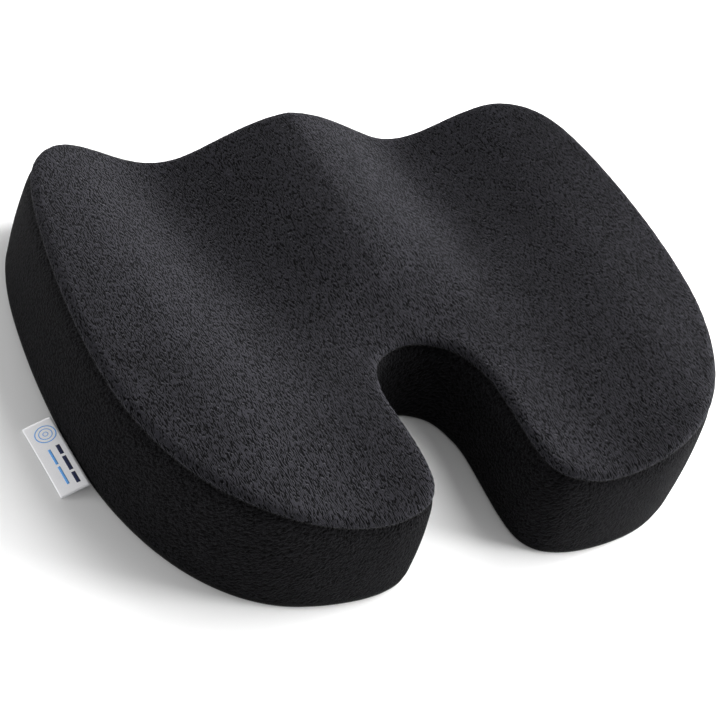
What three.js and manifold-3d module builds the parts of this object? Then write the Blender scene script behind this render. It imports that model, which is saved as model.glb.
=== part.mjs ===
// Seat cushion with a tailbone cut-out: a moulded foam core in a zipped fabric cover.
// Millimetres, +Z up. The thigh edge faces -Y, the cut-out opens to +Y, and z = 0 is the
// surface that it lies on. A sitter who faces -Y has +X on the left.
import * as THREE from "three";
import { mergeVertices } from "three/addons/utils/BufferGeometryUtils.js";
import Module from "manifold-3d";

const wasm = await Module();
wasm.setup();

// ---- Driving dimensions ----
const cushion = {
  frontEdge: 192, // from the origin to the straight thigh edge
  rearHeight: 77.5, // thickness at the rear and in the middle
  rimRadius: 7, // roll of the top edge
  footRadius: 5, // roll of the bottom edge
  bulge: 1.8, // how far the walls swell half-way up
  baseSpread: 2.3, // how far the foot of the wall stands out of the outline
  leanFront: 8.3, // how far the top edge lies inside the foot, at the thigh edge
  leanRear: -2.6, // and at the rear, where the top edge overhangs
  depthHalf: 170, // the leans and the reaches below are measured over twice this depth
};
// `reach` is the share of the depth over which a form fades out, from the thigh edge back.
const pommel = { height: 13.3, width: 63, reach: 1.92 };
const trough = { depth: 30.8, x: 111, width: 70, reach: 0.86 };
const shoulder = { height: 19, x: 121.5, halfWidth: 50, reach: 3.3 };
const notchDip = { depth: 14, width: 60, y: 47 };
const cover = {
  fabric: 1.5, // thickness of the velour
  clearance: 0.4, // between the cover and the foam
  seamGap: 1.2, // between two panels where they are sewn
  baseFabric: 1.2,
  rubber: 0.8, // grip sheet under the base fabric
  thread: 0.5,
};
const zip = {
  z: 22, // height of the zip's centre line
  halfLength: 153, // the zip panel's end seams
  windowHalf: 4.9, // half-height of the opening between the two front bands
  tape: 0.9,
  tapeHalf: 11.5,
  flatTop: 36, // the front wall is flat up to this height
  coilInner: 0.7,
  coilOuter: 3,
  closedX: -143, // the slider's place when the zip is closed
};
const label = {
  place: 0.249, // share of the way round the outline
  length: 62,
  reach: 20, // how far it stands out of the wall
  z: 6.5, // height where it leaves the wall
  droop: 5,
  thickness: 0.9,
};

// Right half of the outline, from the middle of the thigh edge round to the notch's apex.
const outlinePoints = [
  [0, -192],
  [75, -192],
  [150, -192],
  [186, -181.5],
  [212.5, -149],
  [225, -53],
  [211, 79],
  [176, 147.5],
  [132, 179.5],
  [66, 185.5],
  [44, 172],
  [37.5, 82.5],
  [25.5, 57],
  [0, 47],
];
// Middle line of the horseshoe, from the centre of the thigh edge to the end of a lobe.
const middlePoints = [
  [0, -72],
  [70, -68],
  [122, -32],
  [136, 40],
  [124, 112],
];

// ---- The cushion's form ----
const smoothStep = (t) => THREE.MathUtils.smoothstep(t, 0, 1);
const hill = (t) => Math.exp(-t * t);
// 1 at the thigh edge, falling to 0 at `reach` of the cushion's depth.
const depthShare = (y) => (y + cushion.depthHalf) / (2 * cushion.depthHalf);
const fade = (y, reach) => 1 - smoothStep(depthShare(y) / reach);

// Height of the seat surface over a point of the plan.
function seatHeight(x, y) {
  const side = Math.abs(x);
  const shoulderRise = smoothStep(
    (side - shoulder.x + shoulder.halfWidth) / (2 * shoulder.halfWidth),
  );
  return (
    cushion.rearHeight +
    pommel.height * hill(x / pommel.width) * fade(y, pommel.reach) -
    trough.depth * hill((side - trough.x) / trough.width) * fade(y, trough.reach) +
    shoulder.height * shoulderRise * fade(y, shoulder.reach) -
    notchDip.depth * hill(x / notchDip.width) * hill((y - notchDip.y) / notchDip.width)
  );
}

const mirrored = (points) => points.map(([x, y]) => [-x, y]);
const toVector = ([x, y]) => new THREE.Vector3(x, y, 0);
const outline = new THREE.CatmullRomCurve3(
  [...outlinePoints, ...mirrored(outlinePoints.slice(1, -1)).reverse()].map(toVector),
  true,
  "centripetal",
);
outline.arcLengthDivisions = 1600;
const outlineLength = outline.getLength();
const middleLine = new THREE.CatmullRomCurve3(middlePoints.map(toVector), false, "centripetal");

// Share of the outline's length at which the lobe is furthest back.
function findLobeTip() {
  let best = 0;
  for (let u = 0.2; u < 0.5; u += 0.001) {
    if (outline.getPointAt(u).y > outline.getPointAt(best).y) best = u;
  }
  return best;
}
const lobeTip = findLobeTip();

// A station is a place on the outline with all that the wall and the seat need there.
// `u` is the share of the outline's length, from -0.5 to 0.5, counted from the thigh edge.
function stationAt(u, alongMiddle) {
  const share = Math.abs(u);
  const mirror = u < 0 ? -1 : 1;
  const p = outline.getPointAt(share);
  const tangent = outline.getTangentAt(share);
  const middle = middleLine.getPointAt(alongMiddle);
  return {
    x: p.x * mirror,
    y: p.y,
    nx: tangent.y * mirror,
    ny: -tangent.x,
    middleX: middle.x * mirror,
    middleY: middle.y,
    // The thigh edge's wall is flat round the zip.
    flat: p.y < 0 ? smoothStep((zip.halfLength + 17 - p.x) / 15) : 0,
  };
}

// Stations round one half: the zip panel, then the side, then back along the lobe's inside.
const frontSteps = 6;
const sideSteps = 16;
const quarterSteps = frontSteps + sideSteps;
const panelEnd = zip.halfLength / outlineLength;
function halfStations() {
  const half = [];
  for (let i = 0; i <= 2 * quarterSteps; i++) {
    const onSide = (i - frontSteps) / sideSteps;
    const onNotch = (i - quarterSteps) / quarterSteps;
    const u =
      i <= frontSteps
        ? (panelEnd * i) / frontSteps
        : i <= quarterSteps
          ? panelEnd + (lobeTip - panelEnd) * onSide
          : lobeTip + (0.5 - lobeTip) * onNotch;
    const alongMiddle = 1 - Math.abs(1 - i / quarterSteps);
    half.push({ u, alongMiddle });
  }
  return half;
}
const half = halfStations();
const stations = [
  ...half.map((h) => stationAt(h.u, h.alongMiddle)),
  ...half
    .slice(1, -1)
    .reverse()
    .map((h) => stationAt(-h.u, h.alongMiddle)),
];

const leanAt = (y) => THREE.MathUtils.lerp(cushion.leanRear, cushion.leanFront, fade(y, 1));

const rimStartHeight = (s) => {
  const lean = leanAt(s.y);
  return seatHeight(s.x - s.nx * lean, s.y - s.ny * lean) - cushion.rimRadius;
};

// A point of the wall at height z, `inset` inside the cover's outer face.
function wallPoint(s, z, inset) {
  const share = THREE.MathUtils.clamp(z / rimStartHeight(s), 0, 1);
  const free =
    cushion.bulge * Math.sin(Math.PI * share) +
    cushion.baseSpread * (1 - share) -
    leanAt(s.y) * share;
  const flat = s.flat * (1 - smoothStep((z - zip.flatTop) / 14));
  const tuck = cushion.footRadius - Math.max(0, cushion.footRadius - z);
  const foot = cushion.footRadius - Math.sqrt(tuck * (2 * cushion.footRadius - tuck));
  const out = THREE.MathUtils.lerp(free, cushion.baseSpread, flat) - foot - inset;
  const y = THREE.MathUtils.lerp(s.y, -cushion.frontEdge, flat);
  return new THREE.Vector3(s.x + s.nx * out, y + s.ny * out, z);
}

// A point of the rolled top edge: turn 0 is the wall's top, turn 1 is the seat's edge.
function rimPoint(s, turn, inset) {
  const angle = (turn * Math.PI) / 2;
  const r = cushion.rimRadius;
  const out = -leanAt(s.y) - r + (r - inset) * Math.cos(angle);
  const rimOut = -leanAt(s.y) - r + r * Math.cos(angle);
  const height = seatHeight(s.x + s.nx * rimOut, s.y + s.ny * rimOut);
  const z = height - r + (r - inset) * Math.sin(angle);
  return new THREE.Vector3(s.x + s.nx * out, s.y + s.ny * out, z);
}

// A point of the seat, from the rolled edge (0) to the middle line (1).
function seatPoint(s, share, inset) {
  const edge = rimPoint(s, 1, 0);
  const x = THREE.MathUtils.lerp(edge.x, s.middleX, share);
  const y = THREE.MathUtils.lerp(edge.y, s.middleY, share);
  return new THREE.Vector3(x, y, seatHeight(x, y) - inset);
}

// ---- Meshes from grids ----
// A grid is a list of columns, one for each station, each from the outside inwards or upwards.
function gridFaces(grid, closed, flip, out) {
  const columns = closed ? grid.length : grid.length - 1;
  for (let i = 0; i < columns; i++) {
    const a = grid[i];
    const b = grid[(i + 1) % grid.length];
    for (let j = 0; j + 1 < a.length; j++) {
      if (flip) out.push(a[j], b[j + 1], b[j], a[j], a[j + 1], b[j + 1]);
      else out.push(a[j], b[j], b[j + 1], a[j], b[j + 1], a[j + 1]);
    }
  }
}

// Drops the slivers left where rows meet, and joins shared corners.
function solidGeometry(corners) {
  const kept = [];
  const area = new THREE.Vector3();
  for (let i = 0; i < corners.length; i += 3) {
    const [a, b, c] = corners.slice(i, i + 3);
    area.crossVectors(b.clone().sub(a), c.clone().sub(a));
    if (area.length() > 1e-7) kept.push(a, b, c);
  }
  const loose = new THREE.BufferGeometry().setFromPoints(kept);
  const joined = mergeVertices(loose, 1e-4);
  joined.computeVertexNormals();
  return joined;
}

// A solid between an outer and an inner grid, walled along its free edges.
function shellGeometry(outer, inner, { closed = false, sealedTop = false } = {}) {
  const corners = [];
  gridFaces(outer, closed, false, corners);
  gridFaces(inner, closed, true, corners);
  const last = outer[0].length - 1;
  gridFaces(outer.map((column, i) => [inner[i][0], column[0]]), closed, false, corners);
  if (!sealedTop) {
    gridFaces(outer.map((column, i) => [column[last], inner[i][last]]), closed, false, corners);
  }
  if (!closed) {
    const end = outer.length - 1;
    gridFaces([inner[0], outer[0]], false, false, corners);
    gridFaces([outer[end], inner[end]], false, false, corners);
  }
  return solidGeometry(corners);
}

const steps = (count, from = 0, to = 1) =>
  Array.from({ length: count + 1 }, (_, i) => from + ((to - from) * i) / count);

// ---- Solids ----
// turns of the rolled edge at which the band ends and the seat panel starts
const seamTurn = 0.3;
const halfSeam = cover.seamGap / 2 / (cushion.rimRadius * Math.PI * 0.5);

const seatColumn = (inset, rimFrom) => (s) => [
  ...steps(2, rimFrom, 1).map((turn) => rimPoint(s, turn, inset)),
  ...steps(5, 0.12, 1).map((share) => seatPoint(s, share, inset)),
];

// Heights of the wall's rows, from the flat zone's top to the rolled edge.
const upperRows = (s) => steps(2, zip.flatTop, rimStartHeight(s));

const bandColumn = (inset, lowRows) => (s) => [
  ...[...lowRows, ...upperRows(s)].map((z) => wallPoint(s, z, inset)),
  rimPoint(s, seamTurn - halfSeam, inset),
];

const baseTop = cover.rubber + 0.3 + cover.baseFabric;
const bandFoot = baseTop + cover.seamGap;

function foamCore() {
  const inset = cover.fabric + cover.clearance;
  const zipRelief = 3.3;
  const floor = baseTop + cover.clearance;
  const grid = stations.map((s) => {
    const deep = inset + zipRelief * s.flat;
    const [flatTop, ...above] = upperRows(s);
    return [
      new THREE.Vector3(s.middleX, s.middleY, floor),
      ...[floor, cushion.footRadius, flatTop].map((z) => wallPoint(s, z, deep)),
      ...above.map((z) => wallPoint(s, z, inset)),
      ...seatColumn(inset, seamTurn)(s),
    ];
  });
  const corners = [];
  gridFaces(grid, true, false, corners);
  return solidGeometry(corners);
}

function topPanel() {
  const from = seamTurn + halfSeam;
  const outer = stations.map(seatColumn(0, from));
  const inner = stations.map(seatColumn(cover.fabric, from));
  return shellGeometry(outer, inner, { closed: true, sealedTop: true });
}

const stationOnFront = (x) => {
  const s = stationAt(Math.abs(x) / outlineLength, 0);
  return x < 0 ? { ...s, x: -s.x, nx: -s.nx } : s;
};
const endGap = cover.seamGap / 2;
const frontStations = [
  stationOnFront(-zip.halfLength + endGap),
  ...steps(2 * frontSteps - 2, 1 / frontSteps - 1, 1 - 1 / frontSteps).map((share) =>
    stationOnFront(share * zip.halfLength),
  ),
  stationOnFront(zip.halfLength - endGap),
];
const sideStations = [
  stationOnFront(zip.halfLength + endGap),
  ...stations.slice(frontSteps + 1, stations.length - frontSteps),
  stationOnFront(-zip.halfLength - endGap),
];

function sideBand() {
  const low = [bandFoot, cushion.footRadius];
  const outer = sideStations.map(bandColumn(0, low));
  const inner = sideStations.map(bandColumn(cover.fabric, low));
  return shellGeometry(outer, inner);
}

function frontBandUpper() {
  const low = [zip.z + zip.windowHalf];
  const outer = frontStations.map(bandColumn(0, low));
  const inner = frontStations.map(bandColumn(cover.fabric, low));
  return shellGeometry(outer, inner);
}

function frontBandLower() {
  const column = (inset) => (s) =>
    [bandFoot, cushion.footRadius, zip.z - zip.windowHalf].map((z) => wallPoint(s, z, inset));
  return shellGeometry(frontStations.map(column(0)), frontStations.map(column(cover.fabric)));
}

// A flat sheet of the cushion's plan between two heights.
function planSheet(fromZ, toZ, inset) {
  const grid = stations.map((s) => {
    const edge = wallPoint(s, fromZ, inset);
    return [
      new THREE.Vector3(s.middleX, s.middleY, fromZ),
      edge,
      new THREE.Vector3(edge.x, edge.y, toZ),
      new THREE.Vector3(s.middleX, s.middleY, toZ),
    ];
  });
  const corners = [];
  gridFaces(grid, true, false, corners);
  return solidGeometry(corners);
}

// A thread of square section along a row of stations; `place` gives its centre.
function threadGeometry(row, place, closed) {
  const r = cover.thread / 2;
  const sides = (s, outwards) =>
    [-1, 1].map((up) => {
      const p = place(s);
      return new THREE.Vector3(
        p.x + s.nx * outwards * r,
        p.y + s.ny * outwards * r,
        p.z + up * r,
      );
    });
  return shellGeometry(
    row.map((s) => sides(s, 1)),
    row.map((s) => sides(s, -1)),
    { closed },
  );
}

function boxSpan([x0, y0, z0], [x1, y1, z1]) {
  const box = new THREE.BoxGeometry(x1 - x0, y1 - y0, z1 - z0);
  return box.translate((x0 + x1) / 2, (y0 + y1) / 2, (z0 + z1) / 2);
}

// Depths count outwards from the flat face that the zip lies in.
const zipFace = -(cushion.frontEdge + cushion.baseSpread);
const zipSpan = (x0, x1, depth0, depth1, z0, z1) =>
  boxSpan([x0, zipFace - depth1, zip.z + z0], [x1, zipFace - depth0, zip.z + z1]);
const tapeDepth = -2.9;

function zipTape(side) {
  const [low, high] = side > 0 ? [zip.coilInner, zip.tapeHalf] : [-zip.tapeHalf, -zip.coilInner];
  const end = zip.halfLength - endGap;
  return zipSpan(-end, end, tapeDepth, tapeDepth + zip.tape, low, high);
}

// A row of teeth: a half-round rail along the tape's edge.
function zipCoil(side) {
  const width = zip.coilOuter - zip.coilInner;
  const profile = new THREE.Shape();
  profile.moveTo(0, 0);
  profile.lineTo(width, 0);
  profile.lineTo(width, 0.9);
  profile.quadraticCurveTo(width, 1.5, width - 0.6, 1.5);
  profile.lineTo(0.5, 1.5);
  profile.quadraticCurveTo(0, 1.5, 0, 1);
  profile.closePath();
  const length = 2 * (zip.halfLength - endGap);
  const rail = new THREE.ExtrudeGeometry(profile, {
    depth: length,
    bevelEnabled: false,
    curveSegments: 3,
  });
  // profile x becomes Z, profile y becomes -Y, and the length runs along X
  const frame = new THREE.Matrix4().makeBasis(
    new THREE.Vector3(0, 0, side),
    new THREE.Vector3(0, -1, 0),
    new THREE.Vector3(side, 0, 0),
  );
  frame.setPosition(
    (-side * length) / 2,
    zipFace - (tapeDepth + zip.tape + 0.3),
    zip.z + side * zip.coilInner,
  );
  return rail.applyMatrix4(frame);
}

function asManifold(geometry) {
  const bare = geometry.clone();
  bare.deleteAttribute("normal");
  bare.deleteAttribute("uv");
  const joined = mergeVertices(bare, 1e-4);
  return new wasm.Manifold(
    new wasm.Mesh({
      numProp: 3,
      vertProperties: joined.attributes.position.array,
      triVerts: new Uint32Array(joined.index.array),
    }),
  );
}

function fromManifold(solid) {
  const mesh = solid.getMesh();
  const geometry = new THREE.BufferGeometry();
  geometry.setAttribute("position", new THREE.BufferAttribute(mesh.vertProperties, 3));
  geometry.setIndex(new THREE.BufferAttribute(mesh.triVerts, 1));
  const flat = geometry.toNonIndexed();
  flat.computeVertexNormals();
  return flat;
}

// The slider's body about its own centre: x along the zip, y outwards, z across.
const slider = {
  halfLength: 5.4,
  halfWidth: 4.3,
  plateLow: 0.2,
  plateHigh: 1.4,
  bridgeHalf: 4,
  bridgeTop: 5.1,
  bridgeBar: 1.2,
  bridgeHalfWidth: 1.1,
};

// Both plates, the side flanges and the post between them, drawn across the zip.
function sliderBody() {
  const s = slider;
  const flange = s.halfWidth - 1;
  const post = 0.35;
  const backHigh = tapeDepth - 0.3;
  const backLow = backHigh - 1.1;
  const flangeLow = tapeDepth + zip.tape + 0.3;
  const section = new THREE.Shape(
    [
      [-s.halfWidth, s.plateHigh],
      [-s.halfWidth, flangeLow],
      [-flange, flangeLow],
      [-flange, s.plateLow],
      [-post, s.plateLow],
      [-post, backHigh],
      [-s.halfWidth, backHigh],
      [-s.halfWidth, backLow],
      [s.halfWidth, backLow],
      [s.halfWidth, backHigh],
      [post, backHigh],
      [post, s.plateLow],
      [flange, s.plateLow],
      [flange, flangeLow],
      [s.halfWidth, flangeLow],
      [s.halfWidth, s.plateHigh],
    ].map(([across, out]) => new THREE.Vector2(across, out)),
  );
  const body = new THREE.ExtrudeGeometry(section, {
    depth: 2 * s.halfLength,
    bevelEnabled: false,
  });
  body.translate(0, 0, -s.halfLength).rotateY(Math.PI / 2);
  return body;
}

// The arch that holds the pull, drawn along the zip and as wide as bridgeHalfWidth each way.
function sliderBridge() {
  const s = slider;
  const arch = new THREE.Shape();
  const foot = s.plateHigh - 0.3;
  arch.moveTo(-s.bridgeHalf, foot);
  arch.lineTo(-s.bridgeHalf + s.bridgeBar, foot);
  arch.lineTo(-s.bridgeHalf + s.bridgeBar, s.bridgeTop - 2.2);
  arch.quadraticCurveTo(
    -s.bridgeHalf + s.bridgeBar,
    s.bridgeTop - s.bridgeBar,
    -1.2,
    s.bridgeTop - s.bridgeBar,
  );
  arch.lineTo(1.2, s.bridgeTop - s.bridgeBar);
  arch.quadraticCurveTo(
    s.bridgeHalf - s.bridgeBar,
    s.bridgeTop - s.bridgeBar,
    s.bridgeHalf - s.bridgeBar,
    s.bridgeTop - 2.2,
  );
  arch.lineTo(s.bridgeHalf - s.bridgeBar, foot);
  arch.lineTo(s.bridgeHalf, foot);
  arch.lineTo(s.bridgeHalf, s.bridgeTop - 1.6);
  arch.quadraticCurveTo(s.bridgeHalf, s.bridgeTop, 1.8, s.bridgeTop);
  arch.lineTo(-1.8, s.bridgeTop);
  arch.quadraticCurveTo(-s.bridgeHalf, s.bridgeTop, -s.bridgeHalf, s.bridgeTop - 1.6);
  arch.closePath();
  const bridge = new THREE.ExtrudeGeometry(arch, {
    depth: 2 * s.bridgeHalfWidth,
    bevelEnabled: false,
    curveSegments: 4,
  });
  return bridge.translate(0, 0, -s.bridgeHalfWidth);
}

const zipSlider = () => fromManifold(asManifold(sliderBody()).add(asManifold(sliderBridge())));

// The pull about its own pivot: x along the tab, y outwards, z along the pivot.
const pull = { pivotOut: 2.7, bar: 0.6, armFrom: 1.6, halfWidth: 3.1, length: 27, thickness: 1.2 };
function zipPull() {
  const t = pull.thickness / 2;
  const tab = new THREE.Shape();
  const w = pull.halfWidth;
  tab.moveTo(-t, -w);
  tab.lineTo(pull.length - w, -w);
  tab.absarc(pull.length - w, 0, w, -Math.PI / 2, Math.PI / 2, false);
  tab.lineTo(-t, w);
  tab.closePath();
  const eye = new THREE.Path();
  eye.moveTo(pull.bar, -pull.armFrom);
  eye.lineTo(pull.bar, pull.armFrom);
  eye.lineTo(6.4, pull.armFrom);
  eye.lineTo(6.4, -pull.armFrom);
  eye.closePath();
  const grip = new THREE.Path();
  grip.absellipse(pull.length - 7.5, 0, 5.2, 1.5, 0, 2 * Math.PI, true);
  tab.holes.push(eye, grip);
  const plate = new THREE.ExtrudeGeometry(tab, {
    depth: pull.thickness,
    bevelEnabled: false,
    curveSegments: 6,
  });
  return plate.translate(0, 0, -t).rotateX(-Math.PI / 2);
}

// ---- The label: a folded ribbon that stands out of the left wall's foot ----
function labelGeometry() {
  const station = stationAt(label.place, 0);
  const tangent = new THREE.Vector3(-station.ny, station.nx, 0);
  const out = new THREE.Vector3(station.nx, station.ny, 0);
  const standOff = 0.9; // keeps the straight label clear of the curved wall
  const foot = wallPoint(station, label.z, -standOff);
  const t = label.thickness / 2;
  const column = (side) => (along) =>
    steps(4).map((share) =>
      foot
        .clone()
        .addScaledVector(tangent, along)
        .addScaledVector(out, share * label.reach)
        .add(new THREE.Vector3(0, 0, side * t - label.droop * share)),
    );
  const alongs = steps(4, -label.length / 2, label.length / 2);
  return shellGeometry(alongs.map(column(-1)), alongs.map(column(1)));
}

// ---- Materials ----
const finish = (color, roughness, metalness = 0) =>
  new THREE.MeshStandardMaterial({ color, roughness, metalness });
const finishes = {
  velour: () => finish(0x35343a, 0.95),
  band: () => finish(0x1b1b1e, 0.9),
  foam: () => finish(0xd9d3c4, 1),
  baseFabric: () => finish(0x202024, 0.95),
  rubber: () => finish(0x17171a, 0.7),
  tape: () => finish(0x141416, 0.85),
  coil: () => finish(0x1d1d20, 0.4),
  metal: () => finish(0x3a3a3e, 0.35, 0.9),
  label: () => finish(0xf1f2f4, 0.6),
  thread: () => finish(0x0e0e10, 0.8),
};

// ---- Assembly ----
const object = new THREE.Group();
object.name = "seat_cushion";

function place(name, geometry, material, parent = object) {
  const mesh = new THREE.Mesh(geometry, material);
  mesh.name = name;
  parent.add(mesh);
  return mesh;
}

place("foam_core", foamCore(), finishes.foam());
place("top_panel", topPanel(), finishes.velour());
place("side_band", sideBand(), finishes.band());
place("front_band_upper", frontBandUpper(), finishes.band());
place("front_band_lower", frontBandLower(), finishes.band());
place("base_panel", planSheet(cover.rubber + 0.3, baseTop, 0.6), finishes.baseFabric());
place("grip_sheet", planSheet(0, cover.rubber, 1.5), finishes.rubber());

const seamCentre = (s) => rimPoint(s, seamTurn, cover.fabric / 2);
const footCentre = (s) => wallPoint(s, baseTop + cover.seamGap / 2, cover.fabric / 2);
place("top_seam_thread", threadGeometry(stations, seamCentre, true), finishes.thread());
place("base_seam_thread", threadGeometry(stations, footCentre, true), finishes.thread());

// The band's two end seams, beside the zip panel.
for (const [name, side] of [
  ["band_end_thread_left", 1],
  ["band_end_thread_right", -1],
]) {
  const s = stationOnFront(side * zip.halfLength);
  const r = cover.thread / 2;
  const column = (depth) => (dx) =>
    steps(4, bandFoot + 1, rimStartHeight(s)).map((z) =>
      wallPoint(s, z, depth).add(new THREE.Vector3(dx, 0, 0)),
    );
  const middle = cover.fabric / 2;
  const thread = shellGeometry(
    [-r, r].map(column(middle - r)),
    [-r, r].map(column(middle + r)),
  );
  place(name, thread, finishes.thread());
}

for (const [name, side] of [
  ["upper", 1],
  ["lower", -1],
]) {
  place("zip_tape_" + name, zipTape(side), finishes.tape());
  place("zip_coil_" + name, zipCoil(side), finishes.coil());
  const end = zip.halfLength - endGap;
  const z = side * (zip.windowHalf + 2.4);
  const stitch = zipSpan(-end, end, 0.3, 0.3 + cover.thread, z - 0.25, z + 0.25);
  place("zip_stitch_" + name, stitch, finishes.thread());
}

const sliderGroup = new THREE.Group();
sliderGroup.position.set(zip.closedX, zipFace, zip.z);
sliderGroup.rotation.x = Math.PI; // its outward side turns to -Y
object.add(sliderGroup);
place("zip_slider", zipSlider(), finishes.metal(), sliderGroup);
const pullMesh = place("zip_pull", zipPull(), finishes.metal(), sliderGroup);
pullMesh.position.set(0, pull.pivotOut, 0);

place("side_label", labelGeometry(), finishes.label());

export default object;
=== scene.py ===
# Seat cushion with a tailbone cut-out: velour cover, zip, label and grip base round the fixed frame.
# Lengths are in millimetres until a mesh is made, and metres from there on.
import math

import bpy
import numpy as np
from mathutils import Matrix, Vector


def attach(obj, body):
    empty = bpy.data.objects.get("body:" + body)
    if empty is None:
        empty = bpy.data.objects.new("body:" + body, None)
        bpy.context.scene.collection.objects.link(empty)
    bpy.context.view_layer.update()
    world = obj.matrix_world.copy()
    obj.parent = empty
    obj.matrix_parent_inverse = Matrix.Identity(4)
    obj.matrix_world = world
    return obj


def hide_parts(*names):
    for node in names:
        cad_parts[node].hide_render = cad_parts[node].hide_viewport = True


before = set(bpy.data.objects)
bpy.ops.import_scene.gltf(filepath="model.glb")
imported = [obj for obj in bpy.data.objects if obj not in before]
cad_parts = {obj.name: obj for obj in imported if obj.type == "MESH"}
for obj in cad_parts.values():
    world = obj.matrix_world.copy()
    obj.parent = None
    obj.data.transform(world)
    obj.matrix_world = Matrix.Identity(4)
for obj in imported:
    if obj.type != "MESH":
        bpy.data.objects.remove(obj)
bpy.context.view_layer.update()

mm = 0.001
print("frame loaded:", len(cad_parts), "nodes")


shotView = {
    "azimuth": 144.6,
    "elevation": 43.4,
    "roll": 16.9,
    "distance": 1.1945,
    "lens": 87.15,
    "target": (0.0151, 0.0186, 0.030),
}


def makeCamera(view):
    a = math.radians(view["azimuth"])
    e = math.radians(view["elevation"])
    r = math.radians(view["roll"])
    back = Vector((math.sin(a) * math.cos(e), -math.cos(a) * math.cos(e), math.sin(e)))
    side = Vector((0, 0, 1)).cross(back).normalized()
    up = back.cross(side)
    right = math.cos(r) * side + math.sin(r) * up
    top = math.cos(r) * up - math.sin(r) * side
    camera = bpy.data.objects.new("camera", bpy.data.cameras.new("camera"))
    place = Vector(view["target"]) + back * view["distance"]
    turn = Matrix((right, top, back)).transposed().to_4x4()
    camera.matrix_world = Matrix.Translation(place) @ turn
    camera.data.lens = view["lens"]
    camera.data.clip_start = 0.05
    camera.data.clip_end = 20
    bpy.context.scene.collection.objects.link(camera)
    bpy.context.scene.camera = camera


makeCamera(shotView)
print("camera placed")


form = {
    "frontEdge": 192,
    "rearHeight": 77.5,
    "rimRadius": 7,
    "footRadius": 5,
    "bulge": 1.8,  # how far the wall's middle stands out
    "baseSpread": 2.3,
    "leanFront": 8.3,  # how far the wall leans in by the top
    "leanRear": -2.6,
    "depthHalf": 170,
    "pommel": {"height": 13.3, "width": 63, "reach": 1.92},
    "trough": {"depth": 30.8, "x": 111, "width": 70, "reach": 0.86},
    "shoulder": {"height": 19, "x": 121.5, "halfWidth": 50, "reach": 3.3},
    "notchDip": {"depth": 14, "width": 60, "y": 47},
    "seamTurn": 0.1,  # where the top seam lies on the rolled edge: 0 outside, 1 on top
    "flatTop": 36,  # the zip's wall is flat up to here
    "flatFade": 14,
    "flatEnd": 17,
    "flatEndFade": 15,
    "panelHalf": 153,  # half the zip panel's length
}
# the right half of the outline, from the middle of the thigh edge round to the cut-out's apex
outlinePoints = [
    (0, -192), (75, -192), (150, -192), (186, -181.5), (212.5, -149), (225, -53), (211, 79),
    (176, 147.5), (132, 179.5), (66, 185.5), (44, 172), (37.5, 82.5), (25.5, 57), (0, 47),
]
# the middle line of the horseshoe, from the centre of the thigh edge to the end of a lobe
middlePoints = [(0, -72), (70, -68), (122, -32), (136, 40), (124, 112)]


def smoothStep(t):
    t = np.clip(t, 0, 1)
    return t * t * (3 - 2 * t)


def hill(t):
    return np.exp(-t * t)


def mix(a, b, t):
    return a + (b - a) * t


def fade(y, reach):
    share = (y + form["depthHalf"]) / (2 * form["depthHalf"])
    return 1 - smoothStep(share / reach)


def seatHeight(x, y):
    side = np.abs(x)
    pommel, trough = form["pommel"], form["trough"]
    shoulder, dip = form["shoulder"], form["notchDip"]
    rise = smoothStep((side - shoulder["x"] + shoulder["halfWidth"]) / (2 * shoulder["halfWidth"]))
    return (
        form["rearHeight"]
        + pommel["height"] * hill(x / pommel["width"]) * fade(y, pommel["reach"])
        - trough["depth"] * hill((side - trough["x"]) / trough["width"]) * fade(y, trough["reach"])
        + shoulder["height"] * rise * fade(y, shoulder["reach"])
        - dip["depth"] * hill(x / dip["width"]) * hill((y - dip["y"]) / dip["width"])
    )


def curvePoints(points, closed, perSpan=170):
    # a centripetal curve through the points, with perSpan samples between two of them
    p = np.array(points, float)
    if closed:
        knots = [p[(i + k) % len(p)] for i in range(len(p)) for k in (-1, 0, 1, 2)]
    else:
        ends = np.vstack([2 * p[0] - p[1], p, 2 * p[-1] - p[-2]])
        knots = [ends[i + k] for i in range(len(p) - 1) for k in (0, 1, 2, 3)]
    w = np.arange(perSpan)[:, None] / perSpan
    out = []
    for i in range(0, len(knots), 4):
        a, b, c, d = knots[i:i + 4]
        ab, bc, cd = (np.sqrt(np.linalg.norm(k)) for k in (b - a, c - b, d - c))
        m1 = ((b - a) / ab - (c - a) / (ab + bc) + (c - b) / bc) * bc
        m2 = ((c - b) / bc - (d - b) / (bc + cd) + (d - c) / cd) * bc
        square = 3 * (c - b) - 2 * m1 - m2
        cube = 2 * (b - c) + m1 + m2
        out.append(b + m1 * w + square * w ** 2 + cube * w ** 3)
    if not closed:
        out.append(p[-1:])
    return np.vstack(out)


class ArcLine:
    # a plane curve that is read by the share of its length
    def __init__(self, points, closed):
        line = curvePoints(points, closed)
        if closed:
            line = np.vstack([line, line[:1]])
        steps = np.linalg.norm(np.diff(line, axis=0), axis=1)
        self.at = np.concatenate([[0], np.cumsum(steps)])
        self.length = self.at[-1]
        self.line = line
        self.closed = closed

    def point(self, share):
        d = (share % 1 if self.closed else np.clip(share, 0, 1)) * self.length
        return np.stack([np.interp(d, self.at, self.line[:, k]) for k in (0, 1)], axis=-1)

    def outward(self, share):
        e = 1.2 / self.length
        t = self.point(share + e) - self.point(share - e)
        t /= np.linalg.norm(t, axis=-1, keepdims=True)
        return np.stack([t[..., 1], -t[..., 0]], axis=-1)


mirroredPoints = [(-x, y) for x, y in outlinePoints[1:-1]][::-1]
outline = ArcLine(outlinePoints + mirroredPoints, closed=True)
middleLine = ArcLine(middlePoints, closed=False)
shares = np.linspace(0.2, 0.5, 3001)
lobeTip = float(shares[np.argmax(outline.point(shares)[:, 1])])


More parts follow.
